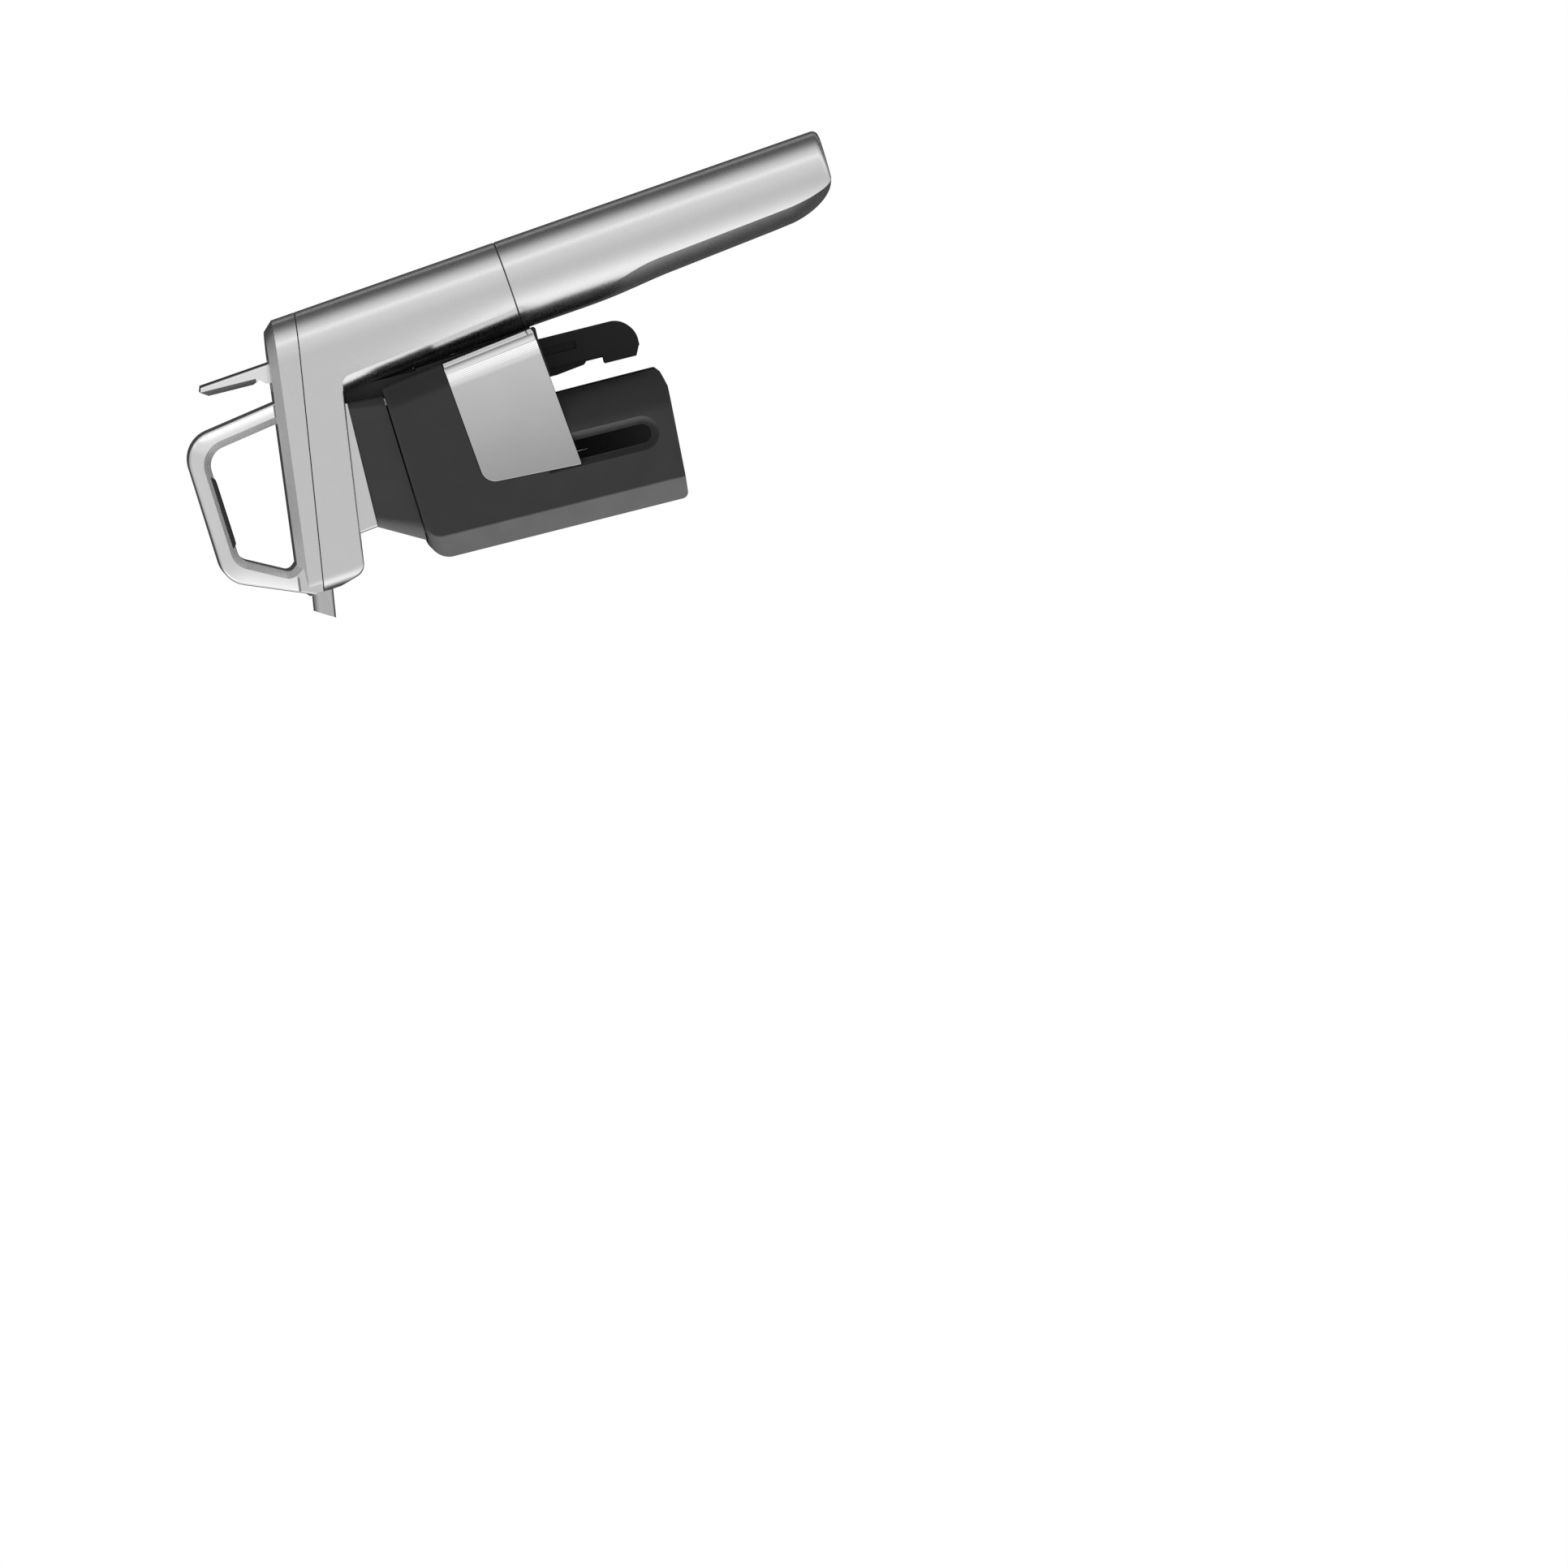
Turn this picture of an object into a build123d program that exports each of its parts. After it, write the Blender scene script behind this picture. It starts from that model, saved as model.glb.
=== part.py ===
"""Hand-held wine preservation dispenser that clamps on the neck of a wine bottle.

A needle goes through the cork, gas from a capsule in the handle pressurises the bottle, and
a trigger opens the valve that lets wine out of the spout.  Millimetres.  +Z runs up the
bottle's axis out of its mouth, +X points to the spout, and the object is symmetric in Y.
The origin is on the neck's axis in the plane of the bottle's mouth.  The head is modelled
pushed down, with the needle through the cork and the slide rail out below the jaws.
"""
from build123d import *
import os
from math import atan2, cos, radians, sin

# --- driving dimensions -------------------------------------------------------------------
NECK_R = 14.0            # bottle neck that the grip pads close on
HANDLE_LEAN = 5.3        # handle's axis off the bottle's axis, degrees
HANDLE_R = 14.1          # handle, barrel and column are all this wide in Y
SEAM_X, SEAM_Z = -54.6, -42.2    # centre of the joint between the barrel and the capsule cup
COLUMN_SLOPE = 7.2       # underside of the column off the mouth's plane, degrees
CAP_SLOPE = 8.05         # joint between the rear housing and the front cap, degrees
TOP_SLOPE = 6.1          # top face of the front cap, degrees
COLUMN_REACH = 69.8      # from the handle's axis to the column's front end
FRONT_ROUND = 4.5        # its two upright corners
WALL = 2.2               # walls of the metal castings
CAP_CHAMFER = 2.7        # bevel round the top of the front cap
SEAM_GROOVE = 0.22       # little bevels that leave a fine groove along each joint
LOOP_BEVEL, LOOP_EDGE = 2.2, 0.8    # bevel round the finger hole, rounding outside
COLUMN_EDGE = 1.3        # rounding along the column's lower edges
CREASE_X, CREASE_Y = 9.2, 14.0      # crease of the fairing under the column, off the handle's axis
CREASE_LEAN = 18.0       # how far the surface below the crease turns away there, degrees
CREASE_FOOT = 7.0        # the crease at the seam, where it fades into the round barrel
CAPSULE_R = 9.25         # steel gas capsule
CAPSULE_LENGTH = 83.0
CAPSULE_TOP = 26.0       # capsule's mouth above the seam, along the handle
THREAD_LENGTH = 12.0     # thread collar below the seam
SLIDE_GAP = 0.15         # air between flat sliding faces
RUN_GAP = 0.06           # radial clearance of pins and bushes
HEAD_REST = 15.0         # underside of the head above the mouth when pushed down
NEEDLE_R = 0.75
NEEDLE_TIP = -54.0
RAIL_HALF = 5.0          # slide rail, half its width
RAIL_BACK, RAIL_STEP, RAIL_FRONT = -36.2, -27.0, -24.4
RAIL_END = -77.0
GROOVE_FOOT = -58.0      # the rail's side grooves stop here and carry the clamp at full lift
LIFT = 58.0              # travel of the head up the rail
SPINE_HALF = 7.3         # clamp spine round the rail, half its width
SPINE_FOOT = -47.0
SPINE_FRONT = -20.8
JAW_HALF = 20.0          # jaws, half their width over the pair
JAW_BORE = 16.2
TUBE_ROUND = 12.0        # rear corner of the jaws' tube below the clamp's spine
HINGE_X, HINGE_Y = -29.5, 12.1
HINGE_PIN_R = 1.5
KNUCKLE_R = 4.2
PLATE_SINK, PLATE_PROUD, PLATE_GAP, PLATE_RIM = 0.5, 0.4, 0.25, 0.25
JAW_EDGE = 0.9           # rounding along the jaw's upper outer edge
JAW_FRONT, JAW_BEVEL = 21.6, 7.0
SPOUT_R, SPOUT_BORE = 3.35, 2.4
TRIGGER_PIVOT = (-46.5, 18.0)
TRIGGER_PIN_R = 1.5

# side outlines, (x, z) corners
LOOP_OUTER = [(-38.1, 31.5), (-32.2, 67.3), (12.5, 64.5), (22.5, 39.4), (22.3, 36.0)]
LOOP_OUTER_R = [0, 9.5, 9.0, 0, 0]
LOOP_HOLE = [(-31.1, 35.9), (-27.0, 60.6), (6.9, 58.5), (14.3, 44.2), (11.6, 40.9)]
LOOP_HOLE_R = [0, 6.0, 4.6, 2.2, 0]
JAW_SIDE = [(-34.0, 3.6), (JAW_FRONT, 0.9), (21.4, -80.2), (-13.7, -81.9), (-19.2, -80.6),
            (-18.9, -48.3), (-40.8, -46.0)]
PAD_SIDE = [(-20.3, 61.6), (-18.8, 59.7), (1.9, 58.35), (3.6, 60.3)]
PLATE_SIDE = [(-46.0, -15.1), (1.9, -20.2), (3.2, -50.3), (-46.0, -44.9)]
PLATE_SIDE_R = [0, 4.5, 0.4, 0]

# --- frames -------------------------------------------------------------------------------
LEAN = radians(HANDLE_LEAN)
HANDLE = Plane(origin=(SEAM_X, 0, SEAM_Z), x_dir=(cos(LEAN), 0, -sin(LEAN)),
               z_dir=(sin(LEAN), 0, cos(LEAN)))


def sloped(x, z, degrees):
    """Plane through (x, z) whose local X climbs towards the spout at an angle."""
    a = radians(degrees)
    return Plane(origin=(x, 0, z), x_dir=(cos(a), 0, sin(a)), z_dir=(-sin(a), 0, cos(a)))


UNDERSIDE = sloped(-36.9, 14.95, COLUMN_SLOPE)      # column's lower face
CAP_SEAM = sloped(0, 32.65, CAP_SLOPE)
CAP_TOP = sloped(0, 40.55, TOP_SLOPE)
VALVE = sloped(-34.0, 24.5, COLUMN_SLOPE)           # valve's axis is this plane's local X


def rise(plane, x):
    """Height of a sloped plane at X."""
    return plane.origin.Z + (x - plane.origin.X) * plane.x_dir.Z / plane.x_dir.X


# --- small helpers ------------------------------------------------------------------------
def side_face(corners, radii=None):
    """Face in the XZ plane through (x, z) corners, rounded by their radii."""
    if radii:
        return Plane.XZ * make_face(FilletPolyline(*corners, radius=radii, close=True))
    return Plane.XZ * make_face(Polyline(*corners, close=True))


def side_slab(corners, half, radii=None):
    """Prism over a side outline, as far to each side of the middle."""
    return extrude(side_face(corners, radii), amount=half, both=True)


def plan_prism(corners, low, high, radii=None):
    """Prism over an (x, y) outline between two heights."""
    if radii:
        face = make_face(FilletPolyline(*corners, radius=radii, close=True))
    else:
        face = make_face(Polyline(*corners, close=True))
    return extrude(Pos(0, 0, low) * face, amount=high - low)


def rod(radius, low, high):
    """Cylinder on the local Z axis between two heights."""
    return Pos(0, 0, (low + high) / 2) * Cylinder(radius, high - low)


def turned(profile):
    """Solid turned about the local Z axis from (radius, height) corners."""
    return revolve(Plane.XZ * make_face(Polyline(*profile, close=True)), Axis.Z)


def block(x, y, z):
    """Box from three (low, high) pairs."""
    centre = Pos(sum(x) / 2, sum(y) / 2, sum(z) / 2)
    return centre * Box(x[1] - x[0], y[1] - y[0], z[1] - z[0])


def coil(radius, wire, height, turns):
    """Helical spring on the local Z axis, from height 0 up."""
    path = Helix(pitch=height / turns, height=height, radius=radius)
    return sweep(Plane(origin=path @ 0, z_dir=path % 0) * Circle(wire / 2), path=path)


def below(shape, plane):
    return split(shape, bisect_by=plane, keep=Keep.BOTTOM)


def above(shape, plane):
    return split(shape, bisect_by=plane, keep=Keep.TOP)


def mirrored(shape):
    return mirror(shape, about=Plane.XZ)


def pair(shape):
    """A shape on the +Y side and its mirror image, as two solids."""
    return Compound(children=[shape, mirrored(shape)])


# --- head: castings -----------------------------------------------------------------------
def column_blank(inset=0.0):
    """Column and the barrel's top in one prism along the handle; the inset shrinks it all round."""
    radius, end, corner = HANDLE_R - inset, COLUMN_REACH - inset, FRONT_ROUND - inset
    back = ThreePointArc((0, radius), (-radius, 0), (0, -radius))
    front = FilletPolyline((0, -radius), (end, -radius), (end, radius), (0, radius), radius=[corner, corner])
    prism = HANDLE * extrude(make_face(back + front), amount=95)
    root, toe, tip = -75, 19.6 - inset, 22.9 - inset
    outline = side_slab(
        [(root, rise(UNDERSIDE, root) + inset), (toe, rise(UNDERSIDE, toe) + inset), (tip, 32.3),
         (tip, 55), (root, 55)], 2 * radius, [0, 4.2, 2.0, 0, 0])
    return prism & outline


def head_blank(inset=0.0):
    """Barrel and column, above the seam."""
    return column_blank(inset) + HANDLE * rod(HANDLE_R - inset, 0, 70)


def fairing_section(height, x, y, lean=None):
    """Front half of the barrel's section, creased at (x, y) on each side where a lean is given."""
    r = HANDLE_R
    edges = [Line((0, -r), (0, r)).edge()]
    for side in (1, -1):
        if lean is None:
            flank = ThreePointArc((0, side * r), (x / 2, side * (r * r - x * x / 4) ** 0.5), (x, side * y))
            a = atan2(y, x) / 2
            belly = ThreePointArc((x, side * y), (r * cos(a), side * r * sin(a)), (r, 0))
        else:
            a = radians(lean)
            flank = ThreePointArc((0, side * r), (x / 2, side * ((r + y) / 2 + 0.12)), (x, side * y))
            belly = Spline((x, side * y), (r, 0), tangents=[(cos(a), -side * sin(a)), (0, -side)],
                           tangent_scalars=[1.3, 1.0])
        edges += [flank.edge(), belly.edge()]
    return Pos(0, 0, height) * make_face(Wire(edges))


def barrel():
    """Round behind; in front a crease on each side climbs out of the round to the column."""
    foot_y = (HANDLE_R ** 2 - CREASE_FOOT ** 2) ** 0.5
    front = loft([fairing_section(0, CREASE_FOOT, foot_y),
                  fairing_section(62, CREASE_X, CREASE_Y, CREASE_LEAN)], ruled=True)
    return HANDLE * (rod(HANDLE_R, 0, 70) - block((0, 20), (-20, 20), (-1, 80)) + front)


def seam_face(shape):
    """The shape's face on the joint between the rear housing and the front cap."""
    return shape.faces().filter_by(lambda f: abs(CAP_SEAM.to_local_coords(f.center()).Z) < 0.01)[0]


def housing_blank():
    """Outside of the rear housing, with the web that rounds the corner under the column."""
    column = column_blank()
    lower = [e for e in column.edges() if e.length > 20
             and abs(UNDERSIDE.to_local_coords(e.center()).Z) < 0.05 and abs(e.center().Y) > HANDLE_R - 0.1]
    corner = side_slab([(-43.0, 16.0), (-36.0, 15.3), (-40.0, 14.6), (-41.2, 8.5), (-43.0, 8.5)],
                       CREASE_Y - 0.05, [0, 0, 3.0, 0, 0])
    blank = below(fillet(lower, COLUMN_EDGE) + barrel() + corner, CAP_SEAM)
    blank = chamfer(seam_face(blank).outer_wire().edges(), SEAM_GROOVE)
    return blank - HANDLE * turned([(HANDLE_R - SEAM_GROOVE, 0), (HANDLE_R, -0.1), (HANDLE_R + 1, -0.1),
                                    (HANDLE_R + 1, 1), (HANDLE_R + 0.1, SEAM_GROOVE + 0.1)])


def rear_housing():
    body = housing_blank()
    floor = sloped(-36.9, 14.95 + WALL, COLUMN_SLOPE)
    body -= above(head_blank(WALL), floor)
    body -= HANDLE * rod(12.0, -1, 16)
    body -= HANDLE * rod(HANDLE_R - 2.5, 16, 90)
    body -= block((RAIL_BACK - 2 * SLIDE_GAP, -30), (-8.3, 8.3), (-30, 15.3))
    body -= rod(4.3, 10, 30)
    body -= spout_line() * rod(SPOUT_R, -4, 30)
    for x in RAIL_SCREW_X:
        body -= Pos(x, 0, 0) * rod(1.5, 10, 24)
    for x, y in BASE_SCREWS:
        body -= Pos(x, y, 0) * rod(1.25, 10, 26)
    body -= Pos(TRIGGER_PIVOT[0], 0, TRIGGER_PIVOT[1]) * Rot(90, 0, 0) * rod(TRIGGER_PIN_R, -12.6, 12.6)
    return body


def cap_blank():
    """Front cap before it is hollowed: the end of the head with a bevelled top."""
    cap = below(above(head_blank(), CAP_SEAM), CAP_TOP)
    top = cap.faces().filter_by(lambda f: f.normal_at().Z > 0.9).sort_by(SortBy.AREA)[-1]
    cap = chamfer(top.edges(), CAP_CHAMFER)
    return chamfer(seam_face(cap).outer_wire().edges(), SEAM_GROOVE)


def finger_loop():
    """Ring over the cap, narrowing from the spout to the handle, bevelled round its hole."""
    ring = side_slab(LOOP_OUTER, HANDLE_R, LOOP_OUTER_R) - side_slab(LOOP_HOLE, 20, LOOP_HOLE_R)
    ring &= plan_prism([(-40, -7.6), (22.6, -HANDLE_R), (24, -HANDLE_R), (24, HANDLE_R),
                        (22.6, HANDLE_R), (-40, 7.6)], 30, 70)
    sides = [f for f in ring.faces() if abs(f.normal_at().Y) > 0.9]
    hole = [e for f in sides for w in f.inner_wires() for e in w.edges()]
    rim = [e for f in sides for e in f.outer_wire().edges() if e.center().Z > 42]
    return chamfer(fillet(rim, LOOP_EDGE).edges().filter_by(lambda e: e in hole), LOOP_BEVEL)


def finger_pad():
    """Rubber strip let into the inside of the loop's outer leg, flush with its bevels."""
    width = plan_prism([(-40, -6.4), (22.6, -12.9), (22.6, 12.9), (-40, 6.4)], 50, 70)
    return side_slab(PAD_SIDE, 20) & width


def front_cap():
    body = cap_blank() + finger_loop() - finger_pad()
    pocket = below(above(head_blank(WALL), CAP_SEAM), CAP_TOP.offset(-2.6))
    pocket &= block((-70, 17), (-20, 20), (0, 60))
    body -= pocket
    body -= spout_line() * rod(SPOUT_R, -4, 30)
    body -= block((-50.2, -40.5), (-7.0, 7.0), (20, 50))
    return body


# --- head: slide, needle and spout --------------------------------------------------------
RAIL_SCREW_X = (-33.7, -28.7)
BASE_SCREWS = [(-18.0, 8.5), (-18.0, -8.5), (4.0, 8.5), (4.0, -8.5)]
BASE_REAR, BASE_FRONT, BASE_HALF = -32.0, 7.9, 12.6


def base_plate():
    """Wedge between the sloping column and the flat face that lands on the clamp."""
    body = side_slab([(BASE_REAR, HEAD_REST), (BASE_FRONT - 0.7, HEAD_REST),
                      (BASE_FRONT, rise(UNDERSIDE, BASE_FRONT)), (BASE_REAR, rise(UNDERSIDE, BASE_REAR))],
                     BASE_HALF)
    end = body.faces().sort_by(Axis.X)[-1]
    body = fillet([e for e in end.edges() if abs(e.center().Y) > BASE_HALF - 0.1], 0.9)
    body -= block((-40, RAIL_FRONT + 0.05), (-RAIL_HALF - 0.05, RAIL_HALF + 0.05), (10, 20))
    body -= rod(4.3, 10, 30)
    for x, y in BASE_SCREWS:
        body -= Pos(x, y, 0) * rod(1.25, 10, 26)
        body -= Pos(x, y, HEAD_REST) * turned([(0, -0.1), (2.5, -0.1), (1.25, 1.4), (0, 1.4)])
    return body


def base_screws():
    """Four countersunk screws up through the base plate and the housing into the manifold."""
    screw = turned([(0, HEAD_REST + 0.1), (2.3, HEAD_REST + 0.1), (1.25, HEAD_REST + 1.35),
                    (1.25, 25), (0, 25)])
    screw -= Pos(0, 0, HEAD_REST) * Box(3.0, 0.7, 1.2)
    return Compound(children=[Pos(x, y, 0) * screw for x, y in BASE_SCREWS])


def slide_rail():
    """Bar that guides the head on the clamp, with a groove along each side."""
    body = side_slab([(RAIL_BACK, 20), (RAIL_BACK, RAIL_END), (RAIL_STEP, RAIL_END), (RAIL_STEP, 20)],
                     RAIL_HALF, [0, 7.0, 0.8, 0])
    body = below(body, UNDERSIDE)
    for side in (-1, 1):
        body -= block((-33.6, -31.0), sorted((side * 3.7, side * 6)), (GROOVE_FOOT, 20))
    for x in RAIL_SCREW_X:
        body -= Pos(x, 0, 0) * rod(1.5, 4, 20)
    return body


def rail_strip():
    """Narrow inner strip of the rail, ramped at its lower end, and the stop pad below it."""
    low = [(RAIL_STEP, 20), (RAIL_FRONT, 20), (RAIL_FRONT, -50), (-25.5, -59.0), (RAIL_STEP, -60.6)]
    pad = [(RAIL_STEP, -65.3), (RAIL_FRONT, -65.3), (RAIL_FRONT, -75.3), (RAIL_STEP, RAIL_END + 0.4)]
    link = block((RAIL_STEP, RAIL_STEP + 0.7), (-2.0, 2.0), (-66, -60))
    strip = side_slab(low, 3.4) + side_slab(pad, RAIL_HALF) + link
    return below(strip, UNDERSIDE)


def rail_screws():
    """Two screws from inside the housing down into the rail's head."""
    screws = []
    for x in RAIL_SCREW_X:
        top = rise(UNDERSIDE, x) + WALL + 0.25
        screw = turned([(0, 5), (1.5, 5), (1.5, top), (2.3, top), (2.3, top + 1.8), (0, top + 1.8)])
        screw -= Pos(0, 0, top + 1.5) * extrude(RegularPolygon(1.3, 6), amount=2)
        screws.append(Pos(x, 0, 0) * screw)
    return Compound(children=screws)


def manifold():
    """Block in the column with the valve's bore, the needle hub's socket and the wine way."""
    floor = sloped(-36.9, 14.95 + WALL, COLUMN_SLOPE)
    low = [(-23.0, rise(floor, -23.0)), (11.5, rise(floor, 11.5)), (15.5, rise(floor, 15.5) + 3.0)]
    body = side_slab(low + [(15.5, rise(CAP_SEAM, 15.5) + 3.9), (7.0, rise(CAP_SEAM, 7.0) + 3.9),
                            (7.0, rise(CAP_SEAM, 7.0) - 0.6), (-23.0, rise(CAP_SEAM, -23.0) - 0.6)], 10.5)
    body -= rod(4.0, 10, 27)
    body -= rod(1.0, 26, 31)
    bore = VALVE * Rot(0, 90, 0)
    body -= bore * rod(1.8, 0, 30)
    body -= bore * rod(3.2, 15, 26)
    body -= spout_line() * rod(SPOUT_R, -7, 20)
    body -= spout_line() * rod(1.2, -14.5, 0)
    for x, y in BASE_SCREWS:
        body -= Pos(x, y, 0) * rod(1.25, 10, 25)
    return body


def needle_hub():
    body = turned([(NEEDLE_R, 15.3), (3.4, 15.3), (3.9, 15.8), (3.9, 24.0), (2.9, 24.0), (2.9, 26.9),
                   (NEEDLE_R, 26.9)])
    for turn in (0, 60, 120):
        flat = Rot(0, 0, turn) * (block((3.3, 6), (-5, 5), (15, 18)) + block((-6, -3.3), (-5, 5), (15, 18)))
        body -= flat
    return body


def hub_seal():
    return Pos(0, 0, 25.4) * Torus(3.45, 0.55)


def needle():
    """Fine closed-tip needle with a slit-like side port just above the point."""
    tube = turned([(0, 26.5), (NEEDLE_R, 26.5), (NEEDLE_R, NEEDLE_TIP + 4), (0.12, NEEDLE_TIP),
                   (0, NEEDLE_TIP)])
    tube -= rod(0.45, NEEDLE_TIP + 5.0, 30)
    return tube - block((0, 2), (-0.3, 0.3), (NEEDLE_TIP + 5.5, NEEDLE_TIP + 9))


def spout_line():
    """Frame whose local Z runs out through the spout, with its zero inside the column's end."""
    a = radians(CAP_SLOPE)
    x = 18.0
    return Location(Plane(origin=(x, 0, rise(CAP_SEAM, x)), x_dir=(sin(a), 0, -cos(a)),
                          z_dir=(cos(a), 0, sin(a))))


def spout():
    """Tube out of the column's end, its mouth cut on a slant."""
    tube = spout_line() * (rod(SPOUT_R, -6.5, 16) - rod(SPOUT_BORE, -8, 18))
    slant = Plane(origin=(28.4, 0, 39.4), x_dir=(0, 1, 0), z_dir=(0.862, 0, 0.507))
    return below(tube, slant)


# --- head: trigger and valve --------------------------------------------------------------
def trigger():
    """Lever from its pivot in the barrel up through the cap, with a nose on the valve stem."""
    x, z = TRIGGER_PIVOT
    finger = side_slab([(-49.5, 35.4), (-47.5, 57.3), (-45.8, 57.9), (-44.2, 55.6), (-44.2, 41.4),
                        (-45.2, 39.3), (-43.6, 37.4), (-43.6, 33.0), (-49.4, 33.0)], 6.5)
    finger = fillet(finger.edges().filter_by(lambda e: abs(e.center().Y) > 6 and e.center().X < -47
                                             and e.center().Z > 40), 0.6)
    bevel = plan_prism([(-46.0, 6.6), (-43.9, 4.5), (-43.9, 6.6)], 40.3, 60)
    finger -= bevel + mirrored(bevel)
    arm = side_slab([(-49.4, 34.5), (-43.6, 34.5), (-43.2, 26.0), (-41.6, 25.6), (-41.6, 21.4),
                     (-43.0, z - 1.0), (-49.6, z)], 4.6)
    boss = Pos(x, 0, z) * Rot(90, 0, 0) * rod(3.8, -4.6, 4.6)
    bore = Pos(x, 0, z) * Rot(90, 0, 0) * rod(TRIGGER_PIN_R + RUN_GAP, -8, 8)
    return finger + arm + boss - bore


def trigger_pin():
    x, z = TRIGGER_PIVOT
    return Pos(x, 0, z) * Rot(90, 0, 0) * rod(TRIGGER_PIN_R, -12.2, 12.2)


def trigger_spring():
    x, z = TRIGGER_PIVOT
    return Pos(x, -5.6, z) * Rot(90, 0, 0) * coil(2.6, 0.9, 4.2, 4)


def valve_stem():
    stem = rod(1.5, -7.2, 17) + rod(2.9, 0.3, 1.3) + rod(2.7, 17, 20.5)
    return VALVE * Rot(0, 90, 0) * stem


def valve_spring():
    """Return spring at the length it has with the trigger pressed."""
    return VALVE * Rot(0, 90, 0) * Pos(0, 0, 2.6) * coil(2.4, 0.7, 7.75, 5)


# --- head: gas side -----------------------------------------------------------------------
def thread_collar():
    """Threaded ring fixed in the barrel's mouth; the capsule cup screws on its lower half."""
    low = -THREAD_LENGTH
    return HANDLE * turned([(9.7, low), (10.7, low), (11.1, low + 0.5), (11.1, 0.0), (12.0, 0.0),
                            (12.0, 16.0), (9.7, 16.0)])


def regulator_body():
    """Regulator: inlet with the capsule's seat below, piston chamber above."""
    r = HANDLE_R - 2.5
    low = CAPSULE_TOP + 2.2
    return HANDLE * turned([(0.9, low), (4.8, low), (4.8, low - 1.9), (6.6, low - 1.9), (9.0, low + 1),
                            (r, low + 3.0), (r, 50.0), (8.4, 50.0), (8.4, low + 9), (0.9, low + 9)])


def capsule_seal():
    return HANDLE * turned([(1.6, CAPSULE_TOP + 0.15), (4.6, CAPSULE_TOP + 0.15),
                            (4.6, CAPSULE_TOP + 2.1), (1.6, CAPSULE_TOP + 2.1)])


def piercing_pin():
    low = CAPSULE_TOP - 1.6
    top = CAPSULE_TOP + 8
    return HANDLE * turned([(0, low), (0.1, low), (0.8, low + 1.5), (0.8, top), (0, top)])


def regulator_piston():
    low = CAPSULE_TOP + 12.2
    return HANDLE * turned([(0, low), (8.1, low), (8.1, low + 4.0), (3.0, low + 4.0), (3.0, low + 6.2),
                            (0, low + 6.2)])


def regulator_spring():
    """Stiff spring over the piston, at the length it has with the piston lifted."""
    return HANDLE * Pos(0, 0, CAPSULE_TOP + 17.55) * coil(4.4, 1.3, 5.75, 2.5)


def regulator_bonnet():
    r = HANDLE_R - 2.5
    return HANDLE * turned([(0, 50.0), (r, 50.0), (r, 53.6), (10.6, 54.6), (0, 54.6)])


def gas_tube():
    """Low-pressure tube from the bonnet up and forward into the manifold."""
    start = HANDLE * Pos(6.6, 6.0, 54.6)
    foot = start.position
    knee = (HANDLE * Pos(6.6, 6.0, 66.2)).position
    end = Vector(-23.0, 6.0, rise(VALVE, -23.0) - 1.2)
    path = FilletPolyline(foot, knee, end, radius=3.5)
    return sweep(Plane(origin=path @ 0, z_dir=path % 0) * Circle(1.1), path=path)


def gas_capsule():
    """Disposable steel capsule: domed foot, shoulder and neck with a pierced mouth."""
    top, foot = CAPSULE_TOP, CAPSULE_TOP - CAPSULE_LENGTH
    outer = make_face(FilletPolyline((0, foot), (CAPSULE_R, foot), (CAPSULE_R, top - 14), (3.9, top - 8),
                                     (3.9, top), (0, top), radius=[0, 6.5, 5.0, 2.0, 0.5, 0], close=True))
    shell = revolve(Plane.XZ * outer, Axis.Z)
    cavity = turned([(0, foot + 2), (4.0, foot + 2.2), (CAPSULE_R - 1.6, foot + 7.5),
                     (CAPSULE_R - 1.6, top - 15.5), (1.9, top - 9), (1.9, top - 2), (0, top - 2)])
    return HANDLE * (shell - cavity - rod(1.15, top - 3, top + 1))


def capsule_cup():
    """Lower handle: round behind, cut to a wide curve in front, thinning to a rounded end."""
    length, wide_r, lean = 105.7, 20.0, 4.0
    blank = rod(HANDLE_R, -length, -0.12)
    blank = fillet(blank.edges().sort_by(Axis.Z)[0], 2.2)
    a = radians(lean)
    front = Plane(origin=(-7.95, 0, -40), x_dir=(cos(a), 0, -sin(a)), z_dir=(sin(a), 0, cos(a)))
    limit = rod(wide_r, -65.7, 60)
    limit = fillet(limit.edges().sort_by(Axis.Z)[0], 10.5)
    body = blank & (front * limit)
    body = chamfer(body.faces().sort_by(Axis.Z)[-1].edges(), SEAM_GROOVE)
    body -= rod(11.8, -THREAD_LENGTH - 0.8, 1)
    body -= rod(9.6, CAPSULE_TOP - CAPSULE_LENGTH - 0.15, 1)
    body -= turned([(0, -40), (6.0, -40), (6.0, -92), (3.0, -95), (0, -95)])
    return HANDLE * body


# --- clamp --------------------------------------------------------------------------------
JAW_TOP = sloped(0, 1.7, -3.15)                     # jaws' upper faces
CORE_FOOT = sloped(0, 2.15, -3.15)                  # underside of the clamp's block above them
CORE_TOP = HEAD_REST - 0.12
TUBE_TOP = sloped(3.2, -50.45, -6.26)               # where the jaws' round tube starts, by the plates
ARM_FRONT = -24.8


def crown(spread, front):
    """Block that narrows upwards from the jaws to the head's base plate."""
    top = Pos(0, 0, CORE_TOP) * make_face(FilletPolyline(
        (-32, -12.2 - spread), (7.4, -12.2 - spread), (7.4, 12.2 + spread), (-32, 12.2 + spread),
        radius=[2, 3.5, 3.5, 2], close=True))
    foot = Pos(0, 0, 1.2) * make_face(FilletPolyline(
        (-31.4, -16.6 - spread), (14.9, -16.6 - spread), (14.9, 16.6 + spread), (-31.4, 16.6 + spread),
        radius=[3, 6, 6, 3], close=True))
    return above(loft([foot, top]), CORE_FOOT) & block((-40, front), (-20, 20), (-5, 20))


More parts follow.
